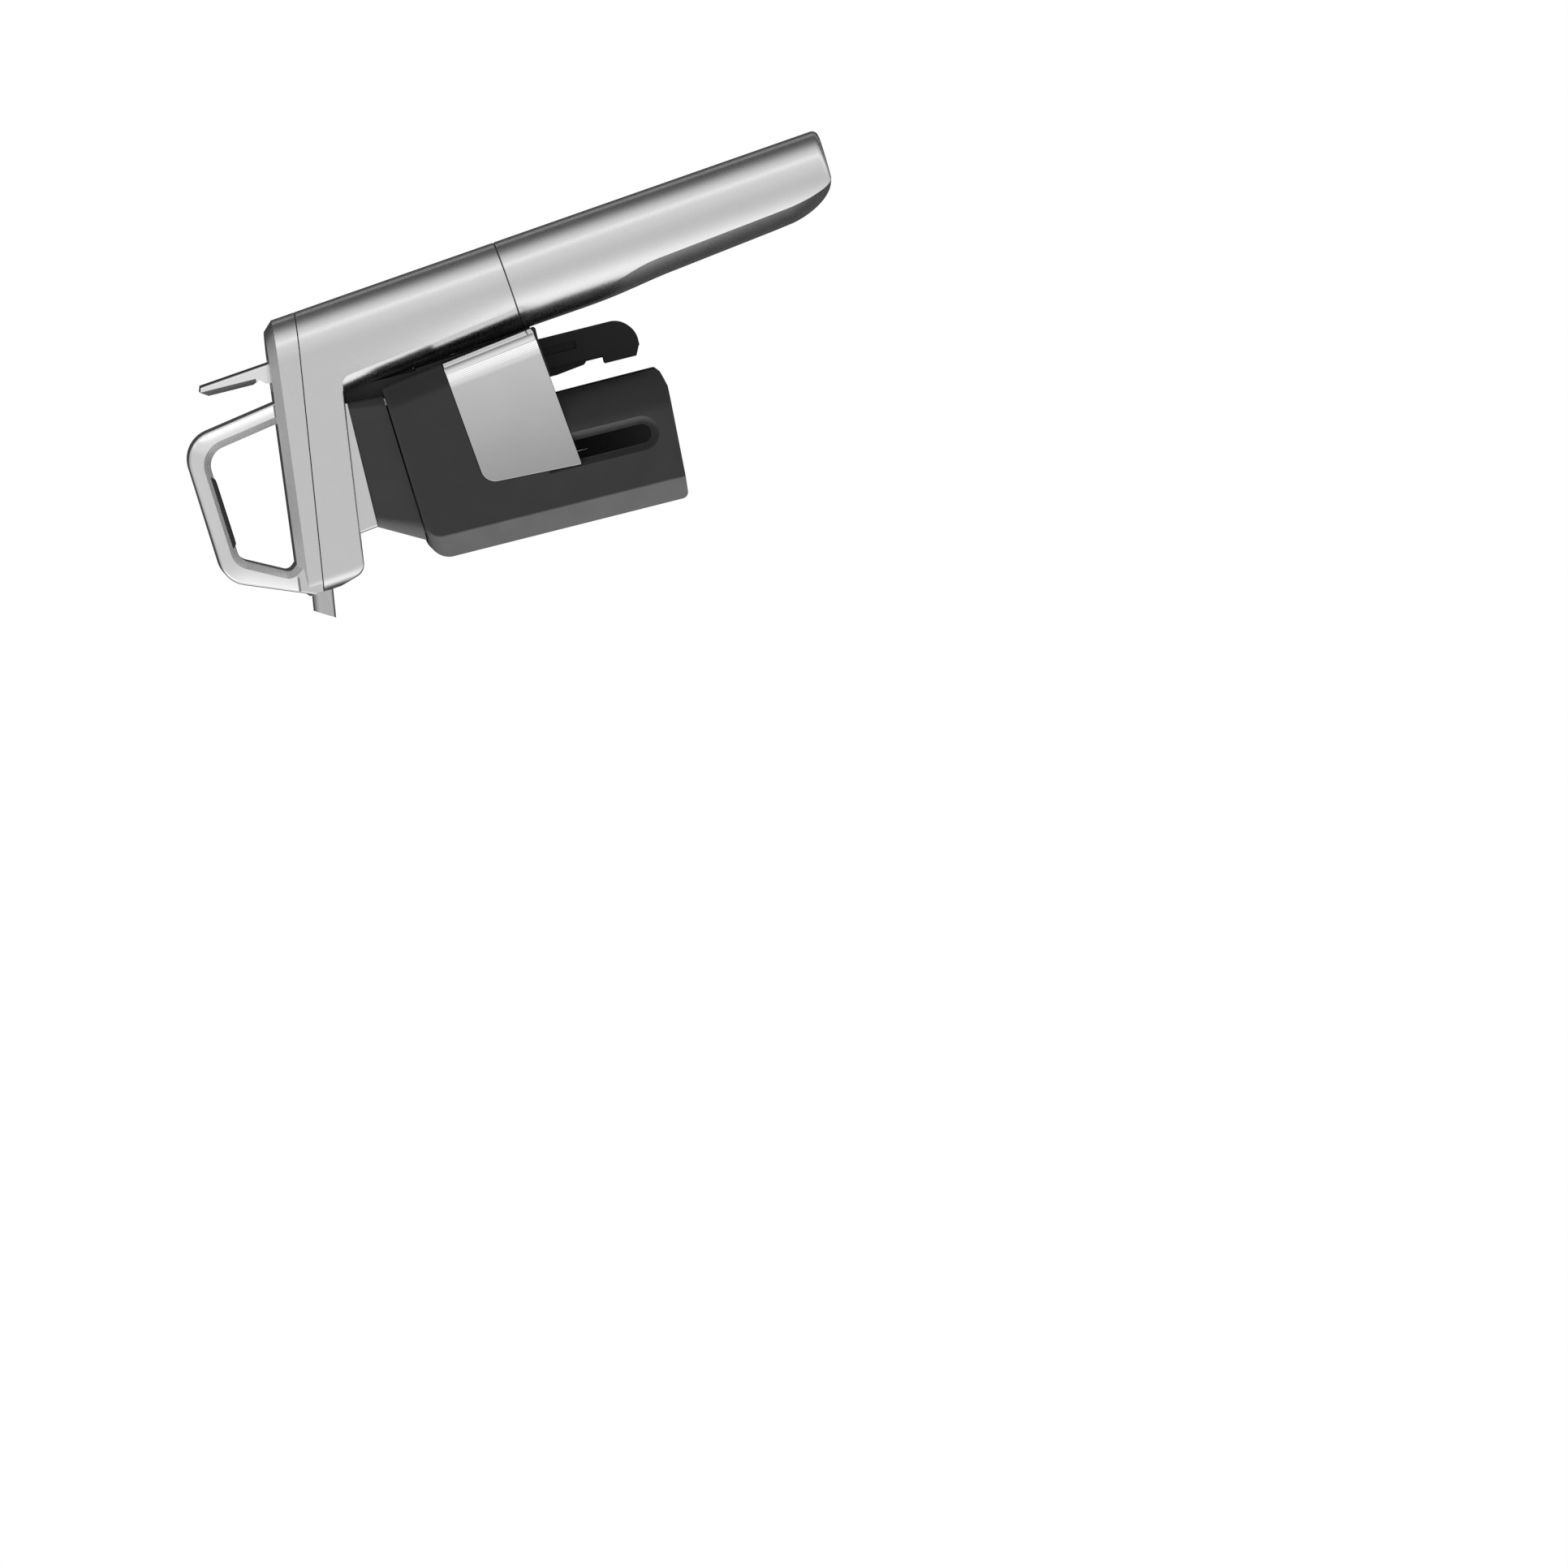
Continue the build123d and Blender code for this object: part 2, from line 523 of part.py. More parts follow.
def clamp_core():
    """Block over the bottle's mouth, with a raised arm on each side for the hinge pins."""
    body = crown(0, 20) + crown(0.7, ARM_FRONT)
    body += rod(13.6, 1.5, 4)
    body -= block((-40, SPINE_FRONT), (-SPINE_HALF, SPINE_HALF), (-5, 20))
    body -= rod(3.0, -1, 20)
    for side in (-1, 1):
        body -= Pos(HINGE_X, side * HINGE_Y, 0) * rod(HINGE_PIN_R, -5, 9)
    return body


def clamp_spine():
    """Channel behind the neck that the rail slides in, with a lug for each jaw's lower hinge."""
    back = RAIL_BACK - SLIDE_GAP
    body = block((back, SPINE_FRONT), (-SPINE_HALF, SPINE_HALF), (SPINE_FOOT, CORE_TOP))
    lug = Pos(HINGE_X, HINGE_Y, 0) * rod(KNUCKLE_R, SPINE_FOOT, SPINE_FOOT + 3.4)
    lug += block((HINGE_X - 3.6, HINGE_X + 3.6), (SPINE_HALF - 0.5, HINGE_Y), (SPINE_FOOT, SPINE_FOOT + 3.4))
    body += lug + mirrored(lug)
    body -= rail_channel()
    body += side_slab([(back, -8.0), (back - 0.65, -8.0), (-40.2, SPINE_FOOT), (back, SPINE_FOOT)],
                      SPINE_HALF)
    for side in (-1, 1):
        body -= Pos(HINGE_X, side * HINGE_Y, 0) * rod(HINGE_PIN_R, SPINE_FOOT - 1, 9)
        body -= glide_pocket(side)
    return body


def rail_channel():
    """Space that the rail, its strip and its stop pad pass through, less the guide ribs."""
    g = SLIDE_GAP
    rib_foot = GROOVE_FOOT + LIFT + g
    space = block((-40, RAIL_FRONT + g), (-RAIL_HALF - g, RAIL_HALF + g), (SPINE_FOOT - 5, 30))
    for side in (-1, 1):
        space -= block((-33.6 + g, -31.0 - g), sorted((side * (3.7 + g), side * 8)), (rib_foot, 30))
    return space


def glide_pocket(side, skin=0.0):
    """Pocket for one glide strip in the channel's side wall, ahead of the rib."""
    reach = RAIL_HALF + SLIDE_GAP
    y = sorted((side * (reach - 0.1 + skin), side * (reach + 0.8)))
    return block((-30.4 + skin, -27.8 - skin), y, (-40, 8))


def rail_glides():
    return pair(glide_pocket(1, 0.1))


def needle_guide():
    """Bush that keeps the needle on the bottle's axis, flanged under the block."""
    bore = NEEDLE_R + RUN_GAP
    return turned([(bore, 1.5), (3.0, 1.5), (3.0, 12.5), (1.6, 13.6), (bore, 13.6)])


def lip_seat():
    """Soft ring that lands on the bottle's lip."""
    return turned([(7.0, 0.0), (13.2, 0.0), (13.2, 1.5), (7.0, 1.5)])


def hinge_pins():
    return pair(Pos(HINGE_X, HINGE_Y, 0) * rod(HINGE_PIN_R, SPINE_FOOT + 0.2, 8.8))


def jaw_springs():
    return pair(Pos(HINGE_X, HINGE_Y, -25.6) * coil(2.75, 1.1, 11, 5))


# --- jaws ---------------------------------------------------------------------------------
def jaw_nose(x, radius):
    """Side outline of the jaw's front end, rounded at its upper corner."""
    low, rear = -90, 5
    return side_face([(rear, rise(JAW_TOP, rear)), (x, rise(JAW_TOP, x)), (x, low), (rear, low)],
                     [0, radius, 0, 0])


def jaw_blank(grow=0.0):
    """Outside of one jaw on the +Y side, rounded at the rear and bevelled at the front."""
    half = JAW_HALF + grow
    back = [(x - grow, z) if x < -30 else (x, z) for x, z in JAW_SIDE]
    body = extrude(side_face(back, [0, 0, 2.0, 2.0, 1.5, 0, 0]), amount=-half)
    rear = [e for e in body.edges() if abs(e.center().Y - half) < 0.01 and e.center().X < -35
            and abs((e % 0.5).Z) > 0.9]
    body = fillet(rear, 7.0 + grow)
    shoulder = half - JAW_BEVEL
    nose = extrude(jaw_nose(JAW_FRONT, 6.5), amount=-shoulder)
    nose += loft([Pos(0, shoulder, 0) * jaw_nose(JAW_FRONT, 6.5),
                  Pos(0, half, 0) * jaw_nose(JAW_FRONT - JAW_BEVEL, 5.0)], ruled=True)
    body &= below(block((-60, 5), (-1, half + 9), (-90, 10)), JAW_TOP) + nose
    corner = block((-26, -19.2 + TUBE_ROUND), (half - TUBE_ROUND, half + 1), (-90, -40))
    corner -= Pos(-19.2 + TUBE_ROUND, half - TUBE_ROUND, 0) * rod(TUBE_ROUND, -90, -40)
    return body - below(corner, TUBE_TOP)


def jaw_clearance():
    """Space inside the +Y jaw for the neck, the spine, the lug and the spring."""
    space = rod(JAW_BORE, -90, 10)
    space += block((-60, 40), (-30, 0.25), (-90, 10))
    space += block((-34, -18.5), (0, SPINE_HALF + 0.55), (-90, 10))
    space += block((-60, HINGE_X), (0, SPINE_HALF + 3.9), (-90, 10))
    space += block((-39.0, -20.5), (0, 16.8), (-60, SPINE_FOOT + 3.75))
    space -= Pos(HINGE_X, HINGE_Y, 0) * rod(KNUCKLE_R, SPINE_FOOT + 3.75, 10)
    space += Pos(HINGE_X, HINGE_Y, 0) * rod(HINGE_PIN_R + RUN_GAP, -90, 10)
    return space + Pos(HINGE_X, HINGE_Y, 0) * rod(4.7, -27, -13)


def slot(width, x, low, high):
    """Upright slot outline in the XZ plane with a round lower end."""
    r = width / 2
    return side_face([(x - r, low), (x + r, low), (x + r, high), (x - r, high)], [r * 0.98, r * 0.98, 0, 0])


def window():
    """Window to the bottle's neck with a sloping recess round it."""
    through = extrude(slot(6.0, -1.3, -73.6, -42), amount=-30)
    recess = extrude(Pos(0, JAW_HALF + 0.01, 0) * slot(10.6, -1.5, -75.9, -40), amount=1.8, taper=44)
    return through + recess


def plate_region(gap=0.0):
    """Where the side plate lies, grown by a gap for the seat that it is let into."""
    face = side_face(PLATE_SIDE, PLATE_SIDE_R)
    face = offset(face, gap) if gap else face
    return extrude(face, amount=-40) & block((-60, 40), (12.6 - gap, 40), (-90, 10))


def jaw(windowed):
    body = jaw_blank()
    rim = [e for e in body.edges() if abs(e.center().Y - JAW_HALF) < 0.05 and e.center().Z > -1]
    body = fillet(rim, JAW_EDGE)
    body -= jaw_clearance()
    if windowed:
        body -= window()
    return body - (plate_region(PLATE_GAP) - jaw_blank(-PLATE_SINK))


def side_plate():
    """Bright plate on the jaw's side, bent round its rear edge."""
    plate = (jaw_blank(PLATE_PROUD) & plate_region()) - jaw_blank(-PLATE_SINK)
    side = plate.faces().sort_by(Axis.Y)[-1]
    rim = [e for e in side.edges() if e.center().X > -30]
    return chamfer(rim, PLATE_RIM)


def grip_pads():
    """Two rubber strips on the jaw's bore, in two rows, clear of the window."""
    pads = []
    for low, high in ((-50.0, -20.0), (-74.0, -58.0)):
        ring = rod(JAW_BORE, low, high) - rod(NECK_R, low - 1, high + 1)
        for start, end in ((14, 64), (114, 166)):
            reach = 40
            a, b = radians(start), radians(end)
            wedge = [(0, 0), (reach * cos(a), reach * sin(a)), (reach * cos(b), reach * sin(b))]
            pads.append(ring & plan_prism(wedge, low - 1, high + 1))
    return Compound(children=[p.solid() for p in pads])


# --- parts --------------------------------------------------------------------------------
PARTS = {
    "rear_housing": rear_housing, "front_cap": front_cap, "finger_pad": finger_pad, "base_plate": base_plate,
    "base_screws": base_screws, "slide_rail": slide_rail, "rail_strip": rail_strip,
    "rail_screws": rail_screws, "manifold": manifold, "needle_hub": needle_hub,
    "hub_seal": hub_seal, "needle": needle, "spout": spout, "trigger": trigger,
    "trigger_pin": trigger_pin, "trigger_spring": trigger_spring, "valve_stem": valve_stem,
    "valve_spring": valve_spring, "thread_collar": thread_collar, "regulator_body": regulator_body,
    "capsule_seal": capsule_seal, "piercing_pin": piercing_pin, "regulator_piston": regulator_piston,
    "regulator_spring": regulator_spring, "regulator_bonnet": regulator_bonnet, "gas_tube": gas_tube,
    "gas_capsule": gas_capsule, "capsule_cup": capsule_cup, "clamp_core": clamp_core,
    "clamp_spine": clamp_spine, "rail_glides": rail_glides, "needle_guide": needle_guide,
    "lip_seat": lip_seat, "hinge_pins": hinge_pins, "jaw_springs": jaw_springs,
    "jaw_left": lambda: jaw(windowed=True), "jaw_right": lambda: mirrored(jaw(windowed=False)),
}
SIDED = {"side_plate": side_plate, "grip_pads": grip_pads}

if __name__ == "__main__":
    os.makedirs("parts", exist_ok=True)
    for name, make in PARTS.items():
        export_step(make(), f"parts/{name}.step")
    for name, make in SIDED.items():
        shape = make()
        export_step(shape, f"parts/{name}_left.step")
        export_step(mirrored(shape), f"parts/{name}_right.step")
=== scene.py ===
"""Looks of a hand-held wine preservation dispenser, built round its packed construction model.

The construction model gives every rigid piece its shape and its place.  This script adds the
finish of each surface, the soft parts, the screw thread, the keeled lower handle, the studio and
the camera.  Finishes, studio and camera are in metres and the new pieces' shapes in millimetres,
all in the model's own frame: +Z runs along the bottle's axis out of its mouth, +X to the spout.
"""
import math

import bmesh
import bpy
import numpy as np
from mathutils import Matrix, Vector


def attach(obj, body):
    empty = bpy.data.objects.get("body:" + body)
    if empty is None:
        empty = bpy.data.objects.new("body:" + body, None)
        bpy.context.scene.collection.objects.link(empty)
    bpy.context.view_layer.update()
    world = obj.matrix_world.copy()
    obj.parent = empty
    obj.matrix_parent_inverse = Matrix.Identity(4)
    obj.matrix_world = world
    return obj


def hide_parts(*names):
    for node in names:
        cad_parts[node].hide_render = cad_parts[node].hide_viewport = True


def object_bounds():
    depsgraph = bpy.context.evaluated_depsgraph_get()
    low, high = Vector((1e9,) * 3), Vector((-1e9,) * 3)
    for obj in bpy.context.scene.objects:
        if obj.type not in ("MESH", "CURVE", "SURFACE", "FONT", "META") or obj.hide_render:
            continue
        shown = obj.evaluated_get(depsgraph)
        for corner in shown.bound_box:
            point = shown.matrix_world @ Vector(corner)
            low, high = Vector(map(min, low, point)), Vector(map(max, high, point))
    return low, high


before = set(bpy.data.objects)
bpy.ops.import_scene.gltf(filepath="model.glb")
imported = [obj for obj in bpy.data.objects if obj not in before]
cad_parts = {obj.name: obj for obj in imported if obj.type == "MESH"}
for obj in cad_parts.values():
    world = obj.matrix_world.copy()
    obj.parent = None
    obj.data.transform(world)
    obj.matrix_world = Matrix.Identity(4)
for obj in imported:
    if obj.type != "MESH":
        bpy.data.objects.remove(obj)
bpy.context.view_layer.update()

MM = 0.001

# --- shader graphs --------------------------------------------------------------------------


class Wire:
    """An output socket.  Arithmetic on wires and numbers adds Math nodes to their graph."""

    def __init__(self, graph, socket):
        self.graph, self.socket = graph, socket

    def math(self, operation, *others, clamp=False):
        settings = {"operation": operation, "use_clamp": clamp}
        return self.graph.node("ShaderNodeMath", settings, dict(enumerate((self, *others))))

    def __add__(self, other):
        return self.math("ADD", other)

    def __sub__(self, other):
        return self.math("SUBTRACT", other)

    def __rsub__(self, other):
        return (self * -1.0) + other

    def __mul__(self, other):
        return self.math("MULTIPLY", other)

    def __truediv__(self, other):
        return self.math("DIVIDE", other)

    __radd__ = __add__
    __rmul__ = __mul__

    def swing(self, amount):
        """A noise's swing about its middle, 0.5, brought to an amount."""
        return (self - 0.5) * amount


class Graph:
    """The nodes of one material or of the world."""

    def __init__(self, owner):
        owner.use_nodes = True
        self.tree = owner.node_tree
        self.tree.nodes.clear()

    def node(self, kind, settings=None, values=None, output=0):
        """Adds a node: settings first, then a value or a wire for each of its sockets."""
        made = self.tree.nodes.new(kind)
        for name, value in (settings or {}).items():
            if name == "stops":
                self.place_stops(made.color_ramp, value)
            else:
                setattr(made, name, value)
        for name, value in (values or {}).items():
            if isinstance(value, Wire):
                self.tree.links.new(value.socket, made.inputs[name])
            else:
                made.inputs[name].default_value = value
        return Wire(self, made.outputs[output]) if made.outputs else None

    def place_stops(self, ramp, stops):
        """Gives a colour ramp one grey for each (position, level)."""
        while len(ramp.elements) < len(stops):
            ramp.elements.new(1.0)
        for element, (position, level) in zip(ramp.elements, stops):
            element.position = position
            element.color = grey(level)

    def noise(self, place, scale, detail=2.0, roughness=0.5):
        values = {"Vector": place, "Scale": scale, "Detail": detail, "Roughness": roughness}
        return self.node("ShaderNodeTexNoise", None, values)

    def stretched(self, place, scale):
        return self.node("ShaderNodeMapping", None, {"Vector": place, "Scale": scale})

    def coordinate(self, vector, axis):
        return self.node("ShaderNodeSeparateXYZ", None, {0: vector}, axis)

    def dot(self, one, two):
        settings = {"operation": "DOT_PRODUCT"}
        return self.node("ShaderNodeVectorMath", settings, {0: one, 1: two}, "Value")

    def grey(self, level):
        """Grey whose level is a wire."""
        return self.node("ShaderNodeCombineColor", None, {0: level, 1: level, 2: level})

    def blend(self, factor, one, two, kind="RGBA"):
        """Mix node: one where the factor is 0, two where it is 1."""
        first, result = {"FLOAT": (2, 0), "RGBA": (6, 2)}[kind]
        values = {0: factor, first: one, first + 1: two}
        return self.node("ShaderNodeMix", {"data_type": kind}, values, result)

    def bump(self, height, distance, strength=1.0, under=None):
        """Normal of a surface that the height raises, over the normal of an earlier bump if given."""
        values = {"Height": height, "Distance": distance, "Strength": strength}
        if under is not None:
            values["Normal"] = under
        return self.node("ShaderNodeBump", None, values)


def grey(level):
    return (level, level, level, 1.0)


def clamp01(wire):
    return wire.math("ADD", 0.0, clamp=True)


def fade(wire, start, end):
    """0 at the start value, 1 at the end one, straight between them and level past them."""
    return clamp01((wire - start) * (1.0 / (end - start)))


def finish(name, make):
    """Material whose surface the function make describes; it returns the shader's sockets."""
    material = bpy.data.materials.new(name)
    graph = Graph(material)
    place = graph.node("ShaderNodeTexCoord", None, None, "Object")
    surface = graph.node("ShaderNodeBsdfPrincipled", None, make(graph, place))
    graph.node("ShaderNodeOutputMaterial", None, {"Surface": surface})
    return material


# --- places that the finishes know, in metres -------------------------------------------------
LEAN = math.radians(5.3)                     # handle's axis off the bottle's axis
HANDLE_FOOT = (-0.0546, 0.0, -0.0422)        # centre of the joint between the barrel and the cup
HANDLE_WAY = (math.sin(LEAN), 0.0, math.cos(LEAN))
HANDLE_ACROSS = (math.cos(LEAN), 0.0, -math.sin(LEAN))


def slope_normal(degrees):
    """Upward normal of a plane that climbs towards the spout."""
    return (-math.sin(math.radians(degrees)), 0.0, math.cos(math.radians(degrees)))


CAP_JOINT = ((0.0, 0.0, 0.03265), slope_normal(8.05))       # front cap on the rear housing
CUP_JOINT = (HANDLE_FOOT, HANDLE_WAY)
JOINT_HALF = 0.00017                         # half the width of the fine groove along a joint
CAP_FACE = ((0.0, 0.0, 0.04055), slope_normal(6.1))         # the loop stands on it
LOOP_FADE = 0.002 / 3                        # height over which the loop's polish begins there
LOOP_CORNERS = [(-0.0381, 0.0315), (-0.0322, 0.0673),       # (x, z) along its outer sides
                (0.0125, 0.0645), (0.0225, 0.0394)]
LOOP_ROUNDING = 0.006                        # how softly the crown turns at those corners
LOOP_LEG = 0.0068                            # width of its legs
LOOP_CROWN = (0.22, 0.50)                    # how steep its flanks are, inside and outside
FLANK_FADE = (0.90, 0.95)                    # the normal's Y where a flank begins, and is whole
TRIGGER_EDGE = ((-0.0381, 0.0, 0.0), (-0.95, 0.0, -0.31))   # the trigger's back edge
TRIGGER_CROWN = 0.40                         # how steeply its flanks fall away from there
PLATE_FRONT = 0.003                          # side plate's front edge along X
PLATE_PAINTED_REFLECTION = (0.53, 9.8)                    # painted reflection: its grey there, and what it gains per metre back
PLATE_BEND = -0.0264                         # where it turns, along X at the bottle's mouth
PLATE_RAKE = 0.130                           # that turn runs back by this much per length down
PLATE_HALF = 0.0204                          # its face along Y
PLATE_TURN = (0.0049, 0.0011)                # size of the flattened turn, along X and along Y
PLATE_LEAN = math.radians(27.8)              # how far the turn leans off the face
PLATE_EASE = 0.0014                          # length over which it comes to that


def height_over(graph, place, plane):
    """Distance of each point from a plane, along its normal."""
    point, normal = plane
    away = graph.node("ShaderNodeVectorMath", {"operation": "SUBTRACT"}, {0: place, 1: point})
    return graph.dot(away, normal)


def painted_groove_shade(graph, place, plane):
    """Mask for painted shade: 1 in the fine groove where two castings meet, 0 away from it."""
    return fade(height_over(graph, place, plane).math("ABSOLUTE"), JOINT_HALF, 0.6 * JOINT_HALF)


def flank(graph):
    """1 on the faces that look along Y, 0 on those that turn away from it."""
    normal = graph.node("ShaderNodeNewGeometry", None, None, "Normal")
    return fade(graph.coordinate(normal, "Y").math("ABSOLUTE"), *FLANK_FADE)


# --- finishes -------------------------------------------------------------------------------


def satin_metal(graph, place):
    """Bead-blasted casting: fine flake, faint clouds, a barely uneven gloss, and painted shade in the
    fine grooves where castings meet.
    """
    flake = graph.noise(place, scale=2600.0, detail=3.0, roughness=0.65)
    clouds = graph.noise(place, scale=160.0)
    tone = flake.swing(0.10) + clouds.swing(0.05) + 0.5
    colour = graph.blend(clamp01(tone), grey(0.74), grey(0.94))
    # painted shade: the grooves where castings meet are coloured near black and made rougher
    groove_shade = clamp01(painted_groove_shade(graph, place, CAP_JOINT) + painted_groove_shade(graph, place, CUP_JOINT))
    gloss = flake.swing(0.16) + clouds.swing(0.06) + 0.28
    return {"Base Color": graph.blend(groove_shade, colour, grey(0.05)), "Metallic": 1.0,
            "Roughness": clamp01(gloss + groove_shade * 0.4),
            "Normal": graph.bump(flake, distance=0.00002, strength=0.35)}


def loop_metal(graph, place):
    """The same casting on the front cap, where the finger loop is polished and its flanks crowned:
    they fall away from the loop's inside, more and more steeply up to its outer sides."""
    made = satin_metal(graph, place)
    above = height_over(graph, place, CAP_FACE)
    loop = fade(above, -0.2 * LOOP_FADE, 0.8 * LOOP_FADE) * flank(graph)
    across = None
    for (x, z), (x_end, z_end) in zip(LOOP_CORNERS, LOOP_CORNERS[1:]):
        length = math.hypot(x_end - x, z_end - z)
        outward = (-(z_end - z) / length, 0.0, (x_end - x) / length)
        beyond = height_over(graph, place, ((x, 0.0, z), outward))
        across = beyond if across is None else across.math("SMOOTH_MAX", beyond, LOOP_ROUNDING)
    leg = fade(across, -LOOP_LEG, 0.0)
    inner, outer = LOOP_CROWN
    crown = (leg * inner + leg * leg * (0.5 * (outer - inner))) * (-LOOP_LEG)
    return {**made, "Base Color": graph.blend(loop, made["Base Color"], grey(0.94)),
            "Roughness": graph.blend(loop, made["Roughness"], made["Roughness"] * 0.6, "FLOAT"),
            "Normal": graph.bump(crown * loop, distance=1.0, under=made["Normal"])}


def bright_plate(graph, place):
    """Polished sheet with hairline brushing along its height. Its grey is painted paler towards its
    bend, a painted reflection; the bend is planished nearly flat."""
    strands = graph.noise(graph.stretched(place, (9000.0, 9000.0, 220.0)), scale=1.0)
    smudge = graph.noise(place, scale=90.0)
    x, z = graph.coordinate(place, "X"), graph.coordinate(place, "Z")
    beside = graph.coordinate(place, "Y").math("ABSOLUTE")
    reflection_at_front, reflection_gain = PLATE_PAINTED_REFLECTION
    # painted reflection: the plate's grey rises from its front edge back towards its bend
    shade = clamp01((PLATE_FRONT - x) * reflection_gain + smudge.swing(0.05) + reflection_at_front)
    gloss = strands.swing(0.05) + smudge.swing(0.04) + 0.11

    turn_length, turn_depth = PLATE_TURN
    behind = (z * PLATE_RAKE + PLATE_BEND - x).math("MAXIMUM", 0.0).math("MINIMUM", turn_length)
    eased = behind.math("MINIMUM", PLATE_EASE)
    along = eased * eased * (0.5 / PLATE_EASE) + behind - eased
    across = (beside - PLATE_HALF).math("MAXIMUM", -turn_depth)
    crown = along * (-math.sin(PLATE_LEAN)) + across * (-math.cos(PLATE_LEAN))
    flattened = graph.bump(crown, distance=1.0)
    return {"Base Color": graph.grey(shade), "Metallic": 1.0, "Roughness": clamp01(gloss),
            "Normal": graph.bump(strands, distance=0.00001, strength=0.12, under=flattened)}


def polished_lever_painted_highlight(graph, place):
    """Polished casting with a painted highlight: its flanks are painted paler than the faces between
    them, which get painted shade. The flanks lean in towards its back edge.
    """
    smudge = graph.noise(place, scale=120.0, detail=3.0)
    side = flank(graph)
    lean = height_over(graph, place, TRIGGER_EDGE) * side * (-TRIGGER_CROWN)
    # painted highlight on the flanks and painted shade on the edges between them, by which way each
    # face looks
    return {"Base Color": graph.grey(side * 0.50 + smudge.swing(0.06) + 0.44), "Metallic": 1.0,
            "Roughness": clamp01(smudge.swing(0.06) + 0.15),
            "Normal": graph.bump(lean, distance=1.0)}


def moulded(shade, gloss, grain):
    """Maker of a moulded plastic finish with a spark-eroded texture."""
    def make(graph, place):
        pits = graph.noise(place, scale=5200.0, roughness=0.6)
        clouds = graph.noise(place, scale=120.0)
        dark, pale = shade * 0.88, shade * 1.14
        colour = graph.blend(clamp01(pits.swing(0.7) + clouds), grey(dark), grey(pale))
        rough = clouds.swing(0.08) + pits.swing(0.10) + gloss
        return {"Base Color": colour, "Roughness": clamp01(rough), "Specular IOR Level": 0.2,
                "Normal": graph.bump(pits, distance=0.00002, strength=grain)}
    return make


def soft_rubber(graph, place):
    """Black rubber with a cloudy bloom."""
    bloom = graph.noise(place, scale=300.0, detail=4.0, roughness=0.6)
    return {"Base Color": graph.blend(clamp01(bloom), grey(0.018), grey(0.045)),
            "Roughness": clamp01(bloom.swing(0.2) + 0.72),
            "Normal": graph.bump(bloom, distance=0.00004, strength=0.4)}


def turned_metal(tint, gloss, ring):
    """Maker of a machined metal finish: tool rings about an upright axis, so many to the metre."""
    def make(graph, place):
        rings = graph.noise(graph.stretched(place, (60.0, 60.0, ring)), scale=1.0)
        dark = tuple(part * 0.86 for part in tint)
        return {"Base Color": graph.blend(clamp01(rings), (*dark, 1.0), (*tint, 1.0)),
                "Metallic": 1.0, "Roughness": clamp01(rings.swing(0.16) + gloss),
                "Normal": graph.bump(rings, distance=0.00001, strength=0.25)}
    return make


def natural_nylon(graph, place):
    """Undyed nylon, faintly cloudy."""
    clouds = graph.noise(place, scale=500.0, detail=3.0)
    dark, pale = (0.70, 0.68, 0.62, 1.0), (0.79, 0.77, 0.72, 1.0)
    return {"Base Color": graph.blend(clamp01(clouds), dark, pale),
            "Roughness": clamp01(clouds.swing(0.15) + 0.5)}


FINISHES = {
    "satin": finish("satin_metal", satin_metal),
    "loop": finish("loop_metal", loop_metal),
    "plate": finish("bright_plate", bright_plate),
    "lever": finish("polished_lever_painted_highlight", polished_lever_painted_highlight),
    "jaw": finish("jaw_plastic", moulded(0.045, 0.52, 0.25)),
    "core": finish("clamp_plastic", moulded(0.052, 0.50, 0.25)),
    "rail": finish("rail_plastic", moulded(0.016, 0.42, 0.20)),
    "rubber": finish("soft_rubber", soft_rubber),
    "nylon": finish("natural_nylon", natural_nylon),
    "steel": finish("turned_steel", turned_metal((0.72, 0.72, 0.73), 0.26, 5000.0)),
    "spout": finish("spout_steel", turned_metal((0.74, 0.74, 0.75), 0.24, 900.0)),
    "brass": finish("turned_brass", turned_metal((0.80, 0.62, 0.32), 0.28, 4000.0)),
    "capsule": finish("drawn_steel", turned_metal((0.62, 0.63, 0.66), 0.30, 300.0)),
}
WEARS = {
    "satin": ["rear_housing", "capsule_cup", "base_plate"],
    "loop": ["front_cap"],
    "plate": ["side_plate_left", "side_plate_right"],
    "lever": ["trigger"],
    "jaw": ["jaw_left", "jaw_right"],
    "core": ["clamp_core", "clamp_spine"],
    "rail": ["slide_rail", "rail_strip"],
    "rubber": ["hub_seal", "capsule_seal"],
    "nylon": ["rail_glides", "manifold"],
    "steel": ["base_screws", "rail_screws", "needle", "needle_hub", "trigger_pin", "trigger_spring",
              "valve_stem", "valve_spring", "piercing_pin", "regulator_spring", "gas_tube",
              "hinge_pins", "jaw_springs"],
    "spout": ["spout"],
    "brass": ["needle_guide", "thread_collar", "regulator_body", "regulator_piston",
              "regulator_bonnet"],
    "capsule": ["gas_capsule"],
}


def dress(piece, material):
    piece.data.materials.clear()
    piece.data.materials.append(material)


for finish_name, node_names in WEARS.items():
    for node_name in node_names:
        dress(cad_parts[node_name], FINISHES[finish_name])

# --- what the new pieces' surfaces are made with, in millimetres ------------------------------


def squircle(count, power):
    """Rounded square round the origin, corners at 1: both coordinates are a circle's, each raised
    to 2 / power with its sign kept."""
    turn = np.linspace(0.0, 2.0 * np.pi, count, endpoint=False)
    c, s = np.cos(turn), np.sin(turn)
    return np.sign(c) * np.abs(c) ** (2.0 / power), np.sign(s) * np.abs(s) ** (2.0 / power)


